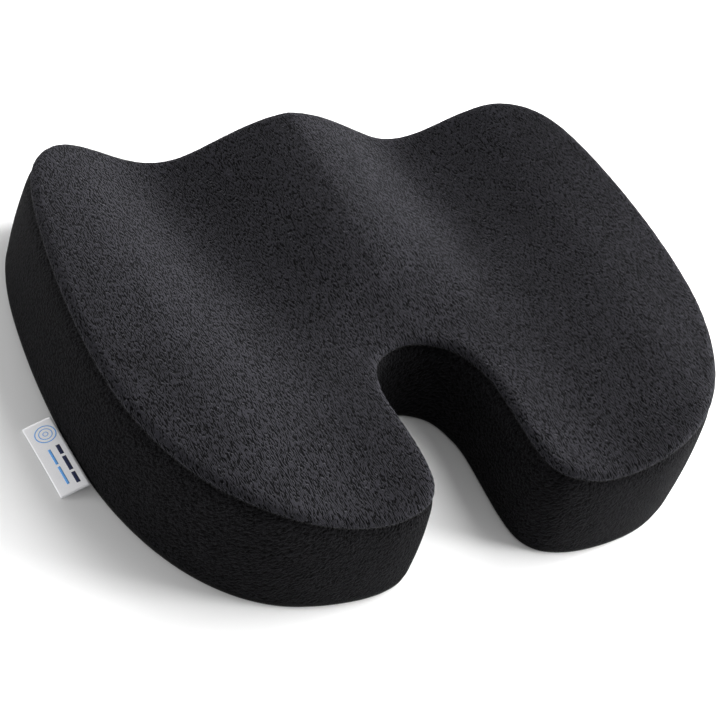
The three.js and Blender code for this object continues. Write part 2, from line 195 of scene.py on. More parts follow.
class Stations:
    # places round the outline; alongMiddle says where each one meets the horseshoe's middle line
    def __init__(self, share, alongMiddle=None):
        self.share = np.asarray(share, float)
        p = outline.point(self.share)
        n = outline.outward(self.share)
        self.x, self.y = p[:, 0], p[:, 1]
        self.nx, self.ny = n[:, 0], n[:, 1]
        self.flat = np.where(
            self.y < 0,
            smoothStep((form["panelHalf"] + form["flatEnd"] - np.abs(self.x)) / form["flatEndFade"]),
            0.0,
        )
        self.lean = mix(form["leanRear"], form["leanFront"], fade(self.y, 1))
        self.rimStart = (
            seatHeight(self.x - self.nx * self.lean, self.y - self.ny * self.lean)
            - form["rimRadius"]
        )
        self.mx, self.my = self.x, self.y
        if alongMiddle is not None:
            m = middleLine.point(np.asarray(alongMiddle))
            sign = np.where(self.share % 1 > 0.5, -1.0, 1.0)
            self.mx, self.my = m[:, 0] * sign, m[:, 1]


lobeFan = 0.16  # share of the stations that meet in one point at the end of a lobe


def allRound(quarter):
    # 4 * quarter stations: thigh edge, side, lobe tip, cut-out and back, shares rising from 0
    i = np.arange(2 * quarter + 1)
    half = np.where(
        i <= quarter, lobeTip * i / quarter, lobeTip + (0.5 - lobeTip) * (i - quarter) / quarter
    )
    along = np.clip((1 - np.abs(1 - i / quarter)) / (1 - lobeFan), 0, 1)
    share = np.concatenate([half, 1 - half[1:-1][::-1]])
    return Stations(share, np.concatenate([along, along[1:-1][::-1]]))


def wallPoint(s, z, inset=0.0):
    z = np.broadcast_to(z, s.x.shape)
    share = np.clip(z / s.rimStart, 0, 1)
    free = form["bulge"] * np.sin(np.pi * share) + form["baseSpread"] * (1 - share) - s.lean * share
    flat = s.flat * (1 - smoothStep((z - form["flatTop"]) / form["flatFade"]))
    r = form["footRadius"]
    up = np.clip(z, 0, r)
    foot = r - np.sqrt(up * (2 * r - up))
    out = mix(free, form["baseSpread"], flat) - foot - inset
    y = mix(s.y, -form["frontEdge"], flat)
    return np.stack([s.x + s.nx * out, y + s.ny * out, z], axis=-1)


def rimPoint(s, turn, inset=0.0):
    angle = turn * np.pi / 2
    r = form["rimRadius"]
    out = -s.lean - r + (r - inset) * np.cos(angle)
    rimOut = -s.lean - r + r * np.cos(angle)
    height = seatHeight(s.x + s.nx * rimOut, s.y + s.ny * rimOut)
    z = height - r + (r - inset) * np.sin(angle)
    return np.stack([s.x + s.nx * out, s.y + s.ny * out, z], axis=-1)


def seatPoint(s, share, inset=0.0):
    edge = rimPoint(s, 1.0)
    x = mix(edge[:, 0], s.mx, share)
    y = mix(edge[:, 1], s.my, share)
    return np.stack([x, y, seatHeight(x, y) - inset], axis=-1)


# A place up the cover's skin: 0 to 1 is the wall, 1 to 2 the rolled edge, 2 to 3 the seat.
def skinPoint(s, up, inset=0.0):
    up = np.broadcast_to(np.asarray(up, float), s.x.shape)
    wall = wallPoint(s, np.clip(up, 0, 1) * s.rimStart, inset)
    rim = rimPoint(s, np.clip(up - 1, 0, 1), inset)
    seat = seatPoint(s, np.clip(up - 2, 0, 1), inset)
    part = up[:, None]
    return np.where(part < 1, wall, np.where(part < 2, rim, seat))


seamUp = 1 + form["seamTurn"]
rimArc = form["rimRadius"] * np.pi / 2
seamArc = form["seamTurn"] * rimArc


def meshObject(name, points, faces):
    mesh = bpy.data.meshes.new(name)
    mesh.from_pydata((np.asarray(points, float) * mm).tolist(), [], faces)
    mesh.validate()
    mesh.polygons.foreach_set("use_smooth", [True] * len(mesh.polygons))
    mesh.update()
    piece = bpy.data.objects.new(name, mesh)
    bpy.context.scene.collection.objects.link(piece)
    return piece


def sealedIndex(quarter):
    # station i meets its partner across the middle line, so both use one vertex there
    i = np.arange(4 * quarter)
    partner = i.copy()
    nearNotch = (i > quarter) & (i <= 2 * quarter)
    partner[nearNotch] = 2 * quarter - i[nearNotch]
    farNotch = (i > 2 * quarter) & (i < 3 * quarter)
    partner[farNotch] = 6 * quarter - i[farNotch]
    for tip in (quarter, 3 * quarter):
        partner[np.abs(i - tip) <= lobeFan * quarter] = tip
    return partner


def gridObject(name, grid, closed=False, sealTop=None, sealFoot=None):
    # grid[column, row]: columns run round the cushion, rows run up the skin
    columns, rows = grid.shape[:2]
    index = np.arange(columns * rows).reshape(columns, rows)
    if sealTop is not None:
        index[:, -1] = index[sealTop, -1]
    if sealFoot is not None:
        index[:, 0] = index[sealFoot, 0]
    used, packed = np.unique(index, return_inverse=True)
    index = packed.reshape(columns, rows)
    points = grid.reshape(-1, 3)[used]
    a = index if closed else index[:-1]
    b = np.roll(index, -1, axis=0) if closed else index[1:]
    quads = np.stack([a[:, :-1], b[:, :-1], b[:, 1:], a[:, 1:]], axis=-1).reshape(-1, 4)
    faces = []
    for quad in quads.tolist():
        corners = list(dict.fromkeys(quad))
        if len(corners) > 2:
            faces.append(corners)
    return meshObject(name, points, faces), index


def applyModifier(piece, kind, **settings):
    # the modifier's result becomes the piece's own mesh
    modifier = piece.modifiers.new(kind.lower(), kind)
    for key, value in settings.items():
        setattr(modifier, key, value)
    bpy.context.view_layer.update()
    shaped = piece.evaluated_get(bpy.context.evaluated_depsgraph_get())
    made = bpy.data.meshes.new_from_object(shaped)
    piece.modifiers.remove(modifier)
    piece.data = made
    return piece


def finishPiece(piece, body, material, replaced=()):
    piece.data.materials.clear()
    piece.data.materials.append(material)
    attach(piece, body)
    if replaced:
        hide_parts(*replaced)


clothRun = {
    "quarter": 64,
    "wallRows": 10,
    "seatRows": 15,
    "startInset": 1.2,  # how much smaller the bag starts
    "quality": 6,
    "mass": 0.3,
    "stretch": 25,
    "shear": 8,
    "bend": 1.2,
    "pressure": 4.0,
    "foamHold": 0.45,  # how firmly the foam keeps the cloth in its place
    "lastFrame": 20,
    "smoothing": 6,
    "mostOut": 2.6,
    "mostIn": 0.25,
}


def simulateCover(run):
    # the whole cover as one bag; its seams and foot are held, and pressure swells the rest
    s = allRound(run["quarter"])
    ups = np.concatenate([
        np.linspace(0.06, 1, run["wallRows"], endpoint=False),
        [1.0, seamUp, 1.65],
        2 + np.linspace(0, 1, run["seatRows"]) ** 1.15,
    ])
    rest = np.stack([skinPoint(s, up) for up in ups], axis=1)
    start = np.stack([skinPoint(s, up, run["startInset"]) for up in ups], axis=1)
    held = (np.abs(ups - seamUp) < 1e-6) | (ups < 0.1)
    start[:, held] = rest[:, held]
    middle = rest[:, :1].copy()
    middle[:, 0, 0], middle[:, 0, 1], middle[:, 0, 2] = s.mx, s.my, 2.0
    seal = sealedIndex(run["quarter"])
    grid = np.concatenate([middle, start], axis=1)
    bag, index = gridObject("clothBag", grid, True, seal, seal)
    group = bag.vertex_groups.new(name="held")
    weights = np.full(len(bag.data.vertices), run["foamHold"])
    rowHeld = np.concatenate([[True], held])
    weights[index[:, rowHeld].ravel()] = 1.0
    for vertex, weight in enumerate(weights.tolist()):
        group.add([vertex], weight, "REPLACE")
    cloth = bag.modifiers.new("cloth", "CLOTH")
    settings = cloth.settings
    settings.quality = run["quality"]
    settings.mass = run["mass"]
    settings.tension_stiffness = run["stretch"]
    settings.compression_stiffness = run["stretch"]
    settings.shear_stiffness = run["shear"]
    settings.bending_stiffness = run["bend"]
    settings.use_pressure = True
    settings.uniform_pressure_force = run["pressure"]
    settings.vertex_group_mass = "held"
    settings.pin_stiffness = 1.0
    settings.effector_weights.gravity = 0
    cloth.collision_settings.use_self_collision = False
    cloth.point_cache.frame_start = 1
    cloth.point_cache.frame_end = run["lastFrame"]
    scene = bpy.context.scene
    for frameNumber in range(1, run["lastFrame"] + 1):
        scene.frame_set(frameNumber)
    shaped = bag.evaluated_get(bpy.context.evaluated_depsgraph_get())
    co = np.zeros(len(shaped.data.vertices) * 3, np.float32)
    shaped.data.vertices.foreach_get("co", co)
    co = co.reshape(-1, 3).astype(float) / mm
    scene.frame_set(1)
    bpy.data.objects.remove(bag)
    moved = co[index[:, 1:]] - rest
    away = rest - start
    away[:, held] = 0
    normal = away / np.maximum(np.linalg.norm(away, axis=-1, keepdims=True), 1e-6)
    rise = (moved * normal).sum(-1)
    raw = (rise.min(), rise.max())
    for _ in range(run["smoothing"]):
        near = (np.roll(rise, 1, 0) + np.roll(rise, -1, 0)) / 2
        across = rise.copy()
        across[:, 1:-1] = (rise[:, 2:] + rise[:, :-2]) / 2
        rise = (rise + near + across) / 3
        rise[:, held] = 0
    rise = np.clip(rise, -run["mostIn"], run["mostOut"])
    print("cloth run: rise %.2f to %.2f mm, kept %.2f to %.2f mm" % (*raw, rise.min(), rise.max()))
    return s.share, ups, rise[..., None] * normal


class Swell:
    # how far the cloth has moved, read at any share of the outline and any place up the skin
    def __init__(self, share, ups, moved):
        self.share = np.concatenate([share, [1.0]])
        self.ups = ups
        self.moved = np.concatenate([moved, moved[:1]], axis=0)

    def at(self, share, up):
        share = np.asarray(share) % 1
        up = np.clip(np.broadcast_to(up, share.shape), self.ups[0], self.ups[-1])
        i = np.clip(np.searchsorted(self.share, share, "right") - 1, 0, len(self.share) - 2)
        j = np.clip(np.searchsorted(self.ups, up, "right") - 1, 0, len(self.ups) - 2)
        a = ((share - self.share[i]) / (self.share[i + 1] - self.share[i]))[:, None]
        b = ((up - self.ups[j]) / (self.ups[j + 1] - self.ups[j]))[:, None]
        low = mix(self.moved[i, j], self.moved[i + 1, j], a)
        high = mix(self.moved[i, j + 1], self.moved[i + 1, j + 1], a)
        return mix(low, high, b)


swell = Swell(*simulateCover(clothRun))
print("cover form ready")


class Finish:
    # one material and the few node moves that the finishes below are made of
    def __init__(self, name, **settings):
        self.material = bpy.data.materials.new(name)
        self.material.use_nodes = True
        self.tree = self.material.node_tree
        self.shader = self.tree.nodes["Principled BSDF"]
        for socket, value in settings.items():
            self.shader.inputs[socketNames[socket]].default_value = value

    def node(self, kind, inputs=(), **settings):
        made = self.tree.nodes.new("ShaderNode" + kind)
        for key, value in settings.items():
            setattr(made, key, value)
        for socket, value in dict(inputs).items():
            self.put(made.inputs[socket], value)
        return made

    def put(self, socket, value):
        if isinstance(value, bpy.types.NodeSocket):
            self.tree.links.new(value, socket)
        else:
            socket.default_value = value

    def place(self, scale=(1, 1, 1), turn=(0, 0, 0), source=None):
        # object coordinates in metres, scaled so that one unit is one grain of the pattern
        at = source or self.node("TexCoord").outputs["Object"]
        inputs = {"Vector": at, "Rotation": turn, "Scale": scale}
        return self.node("Mapping", inputs).outputs["Vector"]

    def noise(self, vector, detail=2.0, rough=0.5, scale=1.0):
        inputs = {"Vector": vector, "Scale": scale, "Detail": detail, "Roughness": rough}
        return self.node("TexNoise", inputs).outputs["Fac"]

    def wave(self, vector, direction="X"):
        inputs = {"Vector": vector, "Scale": 1.0, "Distortion": 0.0, "Detail": 0.0}
        return self.node("TexWave", inputs, bands_direction=direction).outputs["Fac"]

    def math(self, operation, a, b=0.0, clamp=False):
        return self.node("Math", {0: a, 1: b}, operation=operation, use_clamp=clamp).outputs[0]

    def shift(self, vector, by):
        return self.node("VectorMath", {0: vector, 1: by}, operation="ADD").outputs[0]

    def spread(self, value, low, high, outLow=0.0, outHigh=1.0):
        inputs = {"Value": value, 1: low, 2: high, 3: outLow, 4: outHigh}
        return self.node("MapRange", inputs, clamp=True).outputs[0]

    def blend(self, amount, a, b):
        made = self.node("Mix", data_type="RGBA")
        self.put(made.inputs["Factor"], amount)
        self.put(made.inputs[6], a)
        self.put(made.inputs[7], b)
        return made.outputs[2]

    def colour(self, value):
        self.put(self.shader.inputs["Base Color"], value)

    def roughness(self, value):
        self.put(self.shader.inputs["Roughness"], value)

    def bump(self, height, distance, strength=1.0):
        inputs = {"Height": height, "Distance": distance, "Strength": strength}
        self.put(self.shader.inputs["Normal"], self.node("Bump", inputs).outputs[0])


socketNames = {
    "rough": "Roughness",
    "metal": "Metallic",
    "specular": "Specular IOR Level",
    "sheen": "Sheen Weight",
    "sheenRough": "Sheen Roughness",
    "sheenTint": "Sheen Tint",
}


def grey(value, blue=0.0, red=0.0):
    return (value * (1 + red), value, value * (1 + blue), 1.0)


velourLook = {
    "ridge": grey(0.0158, 0.24, 0.03),
    # colour of the pile's low streaks: the cloth's own dark tone with painted shade of the pile's
    # valleys
    "shadedValley": grey(0.0006, 0.25),
    "sweep": -0.55,  # how far the pile is brushed sideways, radians
    "grain": (1560, 350, 330),  # streaks per metre across, along and up the pile
    "grainLow": 0.38,
    "grainHigh": 0.57,
    "bend": 0.0007,
    "depth": 0.0042,
    "bumpStrength": 1.0,
    "patchSize": 26,
    "sheen": 0.085,
    "sheenRough": 0.4,
}


def makeVelour(look):
    f = Finish(
        "velour", rough=0.95, specular=0.05, sheen=look["sheen"], sheenRough=look["sheenRough"],
        sheenTint=grey(0.8, 0.12),
    )
    # the pile leans along the depth and wanders a little to each side
    drift = f.node("TexNoise", {"Vector": f.place(), "Scale": 38.0, "Detail": 1.0})
    centred = {0: drift.outputs["Color"], 1: (0.5, 0.5, 0.5)}
    offset = f.node("VectorMath", centred, operation="SUBTRACT").outputs[0]
    bend = look["bend"]
    scaled = {0: offset, 1: (bend, bend * 0.5, bend)}
    bent = f.node("VectorMath", scaled, operation="MULTIPLY").outputs[0]
    at = f.place(turn=(0, look["sweep"], 0), source=f.shift(f.place(), bent))
    streak = f.noise(f.place(look["grain"], source=at), detail=0.0)
    pile = f.spread(streak, look["grainLow"], look["grainHigh"])
    patch = f.noise(f.place(), scale=look["patchSize"], detail=3.0)
    # the colour follows the pile's bump, near black where it is low: painted shade in the valleys
    # between tufts, over the pile's own streaky grain
    tone = f.math("MULTIPLY", pile, f.spread(patch, 0.3, 0.7, 0.78, 1.12), clamp=True)
    f.colour(f.blend(tone, look["shadedValley"], look["ridge"]))
    f.roughness(f.spread(pile, 0.0, 1.0, 1.0, 0.8))
    f.bump(pile, look["depth"], look["bumpStrength"])
    return f.material


bandLook = {
    "light": grey(0.0078, 0.14, 0.02),
    # colour of the pile's low streaks, near black: the cloth's own tone with painted shade of the
    # pile's valleys
    "dark": grey(0.0001, 0.14),
    "grain": (620, 620, 340),
    "lean": 0.6,
    "depth": 0.0026,
    "sheen": 0.02,
    "sheenRough": 0.4,
}


def makeBandVelour(look):
    f = Finish(
        "bandVelour", rough=0.9, specular=0.04, sheen=look["sheen"], sheenRough=look["sheenRough"],
        sheenTint=grey(0.8, 0.1),
    )
    lean = look["lean"]
    at = f.place(turn=(lean, lean * 0.7, 0))
    streak = f.noise(f.place(look["grain"], source=at), detail=2.0, rough=0.55)
    pile = f.spread(streak, 0.36, 0.66)
    patch = f.noise(f.place(), scale=34, detail=3.0)
    tone = f.math("MULTIPLY", pile, f.spread(patch, 0.3, 0.7, 0.8, 1.15), clamp=True)
    # the colour follows the pile's bump, near black where it is low: painted shade in the pile's
    # valleys, over the band's own grain
    f.colour(f.blend(tone, look["dark"], look["light"]))
    f.bump(pile, look["depth"], 1.0)
    return f.material


weaveLook = {
    "baseFabric": {"light": grey(0.016), "dark": grey(0.005), "threads": 900, "depth": 0.00025},
    "zipTape": {"light": grey(0.009), "dark": grey(0.003), "threads": 1500, "depth": 0.00018},
}


def makeWeave(name, look):
    f = Finish(name, rough=0.9, specular=0.2, sheen=0.15)
    count = look["threads"]
    across = f.wave(f.place((count, 0, 0)), "X")
    along = f.wave(f.place((0, count, count)), "DIAGONAL")
    cloth = f.math("MULTIPLY", across, along)
    fuzz = f.noise(f.place(), scale=count * 2.2, detail=1.0)
    tone = f.math("ADD", f.math("MULTIPLY", cloth, 0.7), f.math("MULTIPLY", fuzz, 0.35), clamp=True)
    f.colour(f.blend(tone, look["dark"], look["light"]))
    f.bump(cloth, look["depth"], 0.7)
    return f.material


foamLook = {"pore": grey(0.11, 0.06), "wall": grey(0.06, 0.06), "cells": 900.0, "depth": 0.0003}


def makeFoam(look):
    f = Finish("memoryFoam", rough=0.95, specular=0.2)
    cells = f.node("TexVoronoi", {"Vector": f.place(), "Scale": look["cells"]}, feature="F1")
    tone = f.spread(cells.outputs["Distance"], 0.1, 0.7)
    f.colour(f.blend(tone, look["pore"], look["wall"]))
    f.bump(tone, look["depth"], 0.5)
    return f.material


rubberLook = {"dark": grey(0.008), "light": grey(0.02), "grain": 1800, "depth": 0.00008}


def makeRubber(look):
    f = Finish("gripRubber", rough=0.55, specular=0.4)
    grain = f.noise(f.place(), scale=look["grain"])
    f.colour(f.blend(f.spread(grain, 0.3, 0.7), look["dark"], look["light"]))
    f.roughness(f.spread(grain, 0.3, 0.7, 0.5, 0.72))
    f.bump(grain, look["depth"], 0.5)
    return f.material


threadLook = {"dark": grey(0.003), "light": grey(0.009), "plies": 2600, "depth": 0.00008}


def makeThread(look):
    f = Finish("sewingThread", rough=0.75, specular=0.15, sheen=0.04)
    ply = f.wave(f.place([look["plies"]] * 3), "DIAGONAL")
    f.colour(f.blend(ply, look["dark"], look["light"]))
    f.bump(ply, look["depth"], 0.6)
    return f.material


nylonLook = {"dark": grey(0.008), "light": grey(0.02), "grain": 1500}


def makeCoilNylon(look):
    f = Finish("coilNylon", rough=0.4, specular=0.28)
    grain = f.noise(f.place(), scale=look["grain"])
    f.colour(f.blend(grain, look["dark"], look["light"]))
    f.roughness(f.spread(grain, 0.3, 0.7, 0.28, 0.5))
    return f.material


metalLook = {
    "dark": grey(0.028),
    "light": grey(0.055),
    "wornEdge": grey(0.18),
    "brush": (300, 6000, 6000),
    "depth": 0.00003,
}


def makeZipMetal(look):
    f = Finish("zipMetal", rough=0.35, metal=1.0, specular=0.5)
    brushed = f.noise(f.place(look["brush"]))
    edge = f.spread(f.node("NewGeometry").outputs["Pointiness"], 0.52, 0.6)
    base = f.blend(f.spread(brushed, 0.3, 0.7), look["dark"], look["light"])
    f.colour(f.blend(edge, base, look["wornEdge"]))
    f.roughness(f.spread(brushed, 0.3, 0.7, 0.28, 0.5))
    f.bump(brushed, look["depth"], 0.4)
    return f.material


satinLook = {
    "shade": grey(0.86, 0.03),
    "shine": grey(0.95, 0.02),
    "ribs": 1400,
    "patches": 220,
    "depth": 0.00005,
}


def makeLabelSatin(look):
    f = Finish("labelSatin", rough=0.45, specular=0.4, sheen=0.2)
    ribs = f.wave(f.place((look["ribs"], look["ribs"], 0)), "DIAGONAL")
    mottled = f.noise(f.place(), scale=look["patches"])
    tone = f.math("ADD", f.math("MULTIPLY", ribs, 0.5), f.math("MULTIPLY", mottled, 0.5))
    f.colour(f.blend(tone, look["shade"], look["shine"]))
    f.bump(ribs, look["depth"], 0.5)
    return f.material


inkLook = {
    "labelInkDark": {"shade": (0.008, 0.012, 0.045, 1), "worn": (0.02, 0.03, 0.09, 1)},
    "labelInkLight": {"shade": (0.10, 0.34, 0.80, 1), "worn": (0.18, 0.45, 0.86, 1)},
    "speckle": 2500,
}


def makeLabelInk(name, look):
    f = Finish(name, rough=0.6, specular=0.3)
    speckle = f.noise(f.place(), scale=look["speckle"], detail=1.0)
    ink = look[name]
    f.colour(f.blend(f.spread(speckle, 0.35, 0.65), ink["shade"], ink["worn"]))
    return f.material


velour = makeVelour(velourLook)
bandVelour = makeBandVelour(bandLook)
baseFabric = makeWeave("baseFabric", weaveLook["baseFabric"])
tapeWeave = makeWeave("zipTapeWeave", weaveLook["zipTape"])
memoryFoam = makeFoam(foamLook)
gripRubber = makeRubber(rubberLook)
sewingThread = makeThread(threadLook)
coilNylon = makeCoilNylon(nylonLook)
zipMetal = makeZipMetal(metalLook)
labelSatin = makeLabelSatin(satinLook)
inkDark = makeLabelInk("labelInkDark", inkLook)
inkLight = makeLabelInk("labelInkLight", inkLook)
print("finishes made")


seam = {
    "rollAt": [0, 0.02, 0.12, 0.35, 0.8, 1.5, 2.4, 3.6, 5.0, 6.6],  # distances from a sewn edge
    "rollIn": [3.6, 3.4, 2.6, 1.9, 1.35, 0.9, 0.52, 0.24, 0.07, 0],  # how far the cloth turns in
    "recessDepth": 2.4,  # the band hangs back under the top seam
    "recessReach": 6.5,
    "pucker": 0.22,
    "puckerReach": 7.0,
    "puckerWaves": ((155, 37, 0.6), (287, 55, 0.4)),
    "fabric": 1.4,
}


def edgeRoll(away):
    return np.interp(away, seam["rollAt"], seam["rollIn"])


def pucker(s, away):
    wave = 0
    for count, sway, weight in seam["puckerWaves"]:
        turn = 2 * np.pi * s.share
        wave = wave + weight * np.sin(count * turn + 1.8 * np.sin(sway * turn))
    return seam["pucker"] * wave * np.exp(-away / seam["puckerReach"])


def coverPoint(s, up, inset):
    return skinPoint(s, up, inset) + swell.at(s.share, up)


topPanelSize = {"quarter": 170, "seatRows": 42}


def makeTopPanel(size):
    s = allRound(size["quarter"])
    edge = rimPoint(s, 1.0)
    depth = np.hypot(edge[:, 0] - s.mx, edge[:, 1] - s.my)
    rimLeft = rimArc - seamArc
    columns = []
    for d in seam["rollAt"][1:]:
        inset = edgeRoll(d) + pucker(s, d)
        columns.append(coverPoint(s, seamUp + d / rimArc, inset))
    for share in np.linspace(0, 1, size["seatRows"] + 1):
        fadeOut = 1 - smoothStep(share * 4)
        inset = pucker(s, rimLeft + share * depth) * fadeOut
        columns.append(coverPoint(s, 2 + share * 0.99999, inset))
    grid = np.stack(columns, axis=1)
    seal = sealedIndex(size["quarter"])
    piece, _ = gridObject("topPanel", grid, True, sealTop=seal)
    return applyModifier(piece, "SOLIDIFY", thickness=seam["fabric"] * mm, offset=-1)


def bandGrid(s, fromZ, toZ=None, wallRows=18, ends=None):
    # rows up a strip of the wall from a sewn edge at fromZ to toZ, or to the top seam
    height = s.rimStart - fromZ + seamArc if toZ is None else np.full(len(s.x), toZ - fromZ)
    near = seam["rollAt"][1:]
    under = near + ([8.5, 11.0, 14.0] if toZ is None else [])
    if toZ is not None:
        near = under = near[:-3]
    rows = [np.full(len(s.x), d) for d in near]
    low, high = near[-1], height - under[-1]
    rows += [mix(low, high, k / wallRows) for k in range(1, wallRows)]
    rows += [height - d for d in under[::-1]]
    endAway = np.full(len(s.x), 99.0)
    if ends is not None:
        endAway = np.minimum(s.share * outline.length - ends[0], ends[1] - s.share * outline.length)
    columns = []
    for h in rows:
        z = fromZ + h
        up = np.where(z < s.rimStart, z / s.rimStart, 1 + (z - s.rimStart) / rimArc)
        away = np.minimum(h, height - h)
        inset = np.maximum(edgeRoll(away), edgeRoll(endAway))
        if toZ is None:
            inset = inset + pucker(s, height - h)
            inset = inset + seam["recessDepth"] * hill((height - h) / seam["recessReach"])
        columns.append(coverPoint(s, up, inset))
    return np.stack(columns, axis=1)


bandSize = {"columns": 560, "frontColumns": 150, "footZ": 2.9, "zipLow": 17.1, "zipHigh": 26.9}
endGap = 0.05


def stripStations(start, end, count):
    # stations from one end seam to the other, closer together beside the seams
    near = np.array(seam["rollAt"][1:])
    middle = np.linspace(start + near[-1], end - near[-1], count)[1:-1]
    at = np.concatenate([start + near, middle, end - near[::-1]])
    return Stations(at / outline.length), (start, end)


def makeBands(size):
    half = form["panelHalf"]
    length = outline.length
    s, ends = stripStations(half + endGap, length - half - endGap, size["columns"])
    side, _ = gridObject("sideBand", bandGrid(s, size["footZ"], ends=ends))
    s, ends = stripStations(-half + endGap, half - endGap, size["frontColumns"])
    upper, _ = gridObject("frontBandUpper", bandGrid(s, size["zipHigh"], wallRows=13, ends=ends))
    low = bandGrid(s, size["footZ"], size["zipLow"], wallRows=5, ends=ends)
    lower, _ = gridObject("frontBandLower", low)
    for piece in (side, upper, lower):
        applyModifier(piece, "SOLIDIFY", thickness=seam["fabric"] * mm, offset=-1)
    return side, upper, lower


topPanel = makeTopPanel(topPanelSize)
finishPiece(topPanel, "cushion", velour, ["top_panel"])
sideBand, frontBandUpper, frontBandLower = makeBands(bandSize)
finishPiece(sideBand, "cushion", bandVelour, ["side_band"])
finishPiece(frontBandUpper, "cushion", bandVelour, ["front_band_upper"])
finishPiece(frontBandLower, "cushion", bandVelour, ["front_band_lower"])
print("cover panels sewn")


foamSize = {
    "quarter": 150,
    "inset": 2.1,
    "zipRelief": 3.3,
    "floor": 2.7,
    "seamRelief": 5.6,  # the foam's edges are eased wherever the cover is sewn
    "seamReach": 7.0,
    "endReach": 9.0,
    "footRelief": 4.2,
}


def makeFoamCore(size):
    s = allRound(size["quarter"])
    arc = np.abs((s.share + 0.5) % 1 - 0.5) * outline.length
    endRelief = size["seamRelief"] * hill((arc - form["panelHalf"]) / size["endReach"])
    deep = size["inset"] + np.maximum(size["zipRelief"] * s.flat, endRelief)
    edge = size["inset"] + endRelief
    middle = np.stack([s.mx, s.my, np.full(len(s.x), size["floor"])], axis=-1)
    foot = wallPoint(s, size["floor"], deep + size["footRelief"])
    rows = [middle] + [mix(middle, foot, share) for share in (0.3, 0.6, 0.85, 0.97)]
    for z in (size["floor"], 3.4, 4.4, 6.0, 8.0):
        rows.append(wallPoint(s, z, deep + size["footRelief"] * hill((z - 3) / 6)))
    top = form["flatTop"]
    rows += [wallPoint(s, z, deep) for z in np.linspace(10, top, 6)]
    for share in np.linspace(0, 1, 8):
        z = mix(top + 4, s.rimStart, share)
        relief = size["seamRelief"] * hill((s.rimStart - z + seamArc) / size["seamReach"])
        inset = np.maximum(mix(deep, edge, smoothStep((z - top) / 14)), size["inset"] + relief)
        rows.append(wallPoint(s, z, inset))
    for turn in (0.1, 0.2, 0.3, 0.4, 0.5, 0.65, 0.82):
        relief = size["seamRelief"] * hill((turn - form["seamTurn"]) * rimArc / size["seamReach"])
        rows.append(rimPoint(s, turn, size["inset"] + min(relief, form["rimRadius"] - 2.5)))
    rows += [seatPoint(s, share, size["inset"]) for share in np.linspace(0, 1, 18)]
    seal = sealedIndex(size["quarter"])
    piece, _ = gridObject("foamCore", np.stack(rows, axis=1), True, seal, seal)
    return piece


base = {"planZ": 3.0, "quarter": 110, "low": 1.1, "high": 2.3, "inset": 0.6, "edgeRound": 0.25}
grip = {
    "quarter": 110,
    "low": 0.3,
    "high": 0.8,
    "inset": 1.5,
    "edgeRound": 0.15,
    "edgeMargin": 7,  # bare rubber outside the dots
    "borderQuarter": 120,
    "dotPitch": 7.0,
    "dotRadius": 1.5,
    "dotSides": 10,
    "rowsEachWay": 28,
    "dotsEachWay": 34,
}


def planObject(name, size):
    # a flat sheet cut to the cushion's plan, with a softly rounded edge
    s = allRound(size["quarter"])
    low, high = size["low"], size["high"]

    def edgeAt(z, back):
        edge = wallPoint(s, base["planZ"], size["inset"] + size["edgeRound"] * back)
        return edge * (1, 1, 0) + (0, 0, z)

    def middleAt(z):
        return np.stack([s.mx, s.my, np.full(len(s.x), z)], axis=-1)

    rows = [mix(middleAt(low), edgeAt(low, 1), share) for share in (0, 0.4, 0.75, 0.95)]
    rows += [edgeAt(low, 1), edgeAt(mix(low, high, 0.3), 0), edgeAt(mix(low, high, 0.7), 0)]
    rows += [edgeAt(high, 1)]
    rows += [mix(middleAt(high), edgeAt(high, 1), share) for share in (0.95, 0.75, 0.4, 0)]
    seal = sealedIndex(size["quarter"])
    piece, _ = gridObject(name, np.stack(rows, axis=1), True, seal, seal)
    return piece


def makeGripDots(size):
    # rubber dots in a staggered pattern over the underside
    s = allRound(size["borderQuarter"])
    border = wallPoint(s, base["planZ"], size["edgeMargin"])[:, :2]
    pitch, r, sides = size["dotPitch"], size["dotRadius"], size["dotSides"]
    centres = []
    rowStep = pitch * math.sqrt(0.75)
    for j in range(-size["rowsEachWay"], size["rowsEachWay"] + 1):
        for i in range(-size["dotsEachWay"], size["dotsEachWay"] + 1):
            centres.append(((i + 0.5 * (j % 2)) * pitch, j * rowStep))
    centres = np.array(centres)
    a, b = border, np.roll(border, -1, axis=0)
    x, y = centres[:, :1], centres[:, 1:]
    crosses = (a[:, 1] > y) != (b[:, 1] > y)
    slope = (b[:, 0] - a[:, 0]) / np.where(a[:, 1] == b[:, 1], 1e-9, b[:, 1] - a[:, 1])
    inside = (crosses & (x < a[:, 0] + (y - a[:, 1]) * slope)).sum(1) % 2 == 1
    turn = np.arange(sides) * 2 * np.pi / sides
    ring = np.stack([np.cos(turn), np.sin(turn)], axis=-1)
    profile = [(r, 0.42), (r, 0.28), (r * 0.82, 0.1), (r * 0.45, 0.015)]
    points, faces = [], []
    for cx, cy in centres[inside].tolist():
        first = len(points)
        for radius, z in profile:
            points += [(cx + radius * p, cy + radius * q, z) for p, q in ring.tolist()]
        points.append((cx, cy, 0.0))
        for k in range(len(profile) - 1):
            for i in range(sides):
                n = (i + 1) % sides
                low, high = first + k * sides, first + (k + 1) * sides
                faces.append((low + n, low + i, high + i, high + n))
        tip = first + (len(profile) - 1) * sides
        faces += [(tip + (i + 1) % sides, tip + i, first + len(profile) * sides) for i in range(sides)]
        faces.append([first + i for i in range(sides)])
    return meshObject("gripDots", points, faces)


foamCore = makeFoamCore(foamSize)
finishPiece(foamCore, "cushion", memoryFoam, ["foam_core"])
basePanel = planObject("basePanel", base)
finishPiece(basePanel, "cushion", baseFabric, ["base_panel"])
gripSheet = planObject("gripSheet", grip)
finishPiece(gripSheet, "cushion", gripRubber, ["grip_sheet"])
gripDots = makeGripDots(grip)
finishPiece(gripDots, "cushion", gripRubber)
print("foam, base cloth and grip dots made")


